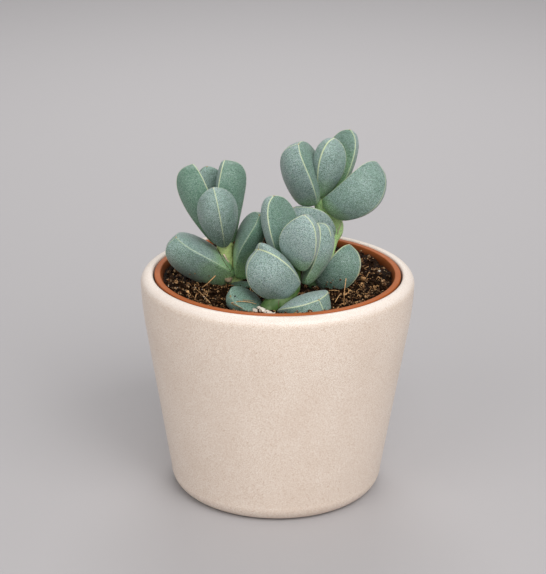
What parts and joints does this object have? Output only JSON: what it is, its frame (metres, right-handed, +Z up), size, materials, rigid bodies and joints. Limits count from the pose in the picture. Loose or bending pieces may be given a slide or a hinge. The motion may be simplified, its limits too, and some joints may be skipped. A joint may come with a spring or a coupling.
{
  "type": "potted ice plant",
  "caption": "Small ice plant: fat keeled blue-green leaves in pairs on short stems, in peat in a thin terracotta-coloured pot set inside a flared pale stoneware cover pot.",
  "frame": {"origin": "middle of the cover pot's foot, on the surface it stands on", "axes": "+Z up, the front of the plant looks along -Y, +X to its right"},
  "size_m": [0.0948, 0.0948, 0.1239],
  "materials": {
    "stoneware": "matt, finely speckled",
    "terracotta_plastic": "satin moulded",
    "peat": "rough, crumbly",
    "leaf": "waxy bloom, satin",
    "stem": "smooth, satin"
  },
  "bodies": {
    "root": {"cover_pot": "stoneware", "grower_pot": "terracotta_plastic", "soil": "peat", "left_stem": "stem", "centre_stem": "stem", "right_stem": "stem", "side_stem": "stem", "left_leaf_front": "leaf", "left_leaf_low_right": "leaf", "left_leaf_low_left": "leaf", "left_leaf_left": "leaf", "left_leaf_right": "leaf", "left_leaf_back": "leaf", "centre_leaf_front": "leaf", "centre_leaf_middle": "leaf", "centre_leaf_right": "leaf", "centre_leaf_top": "leaf", "right_leaf_front": "leaf", "right_leaf_left": "leaf", "right_leaf_right": "leaf", "right_leaf_back": "leaf", "right_leaf_low_left": "leaf", "ground_leaf_left": "leaf", "ground_leaf_front": "leaf", "ground_leaf_right": "leaf", "ground_leaf_back": "leaf"}
  },
  "joints": []
}
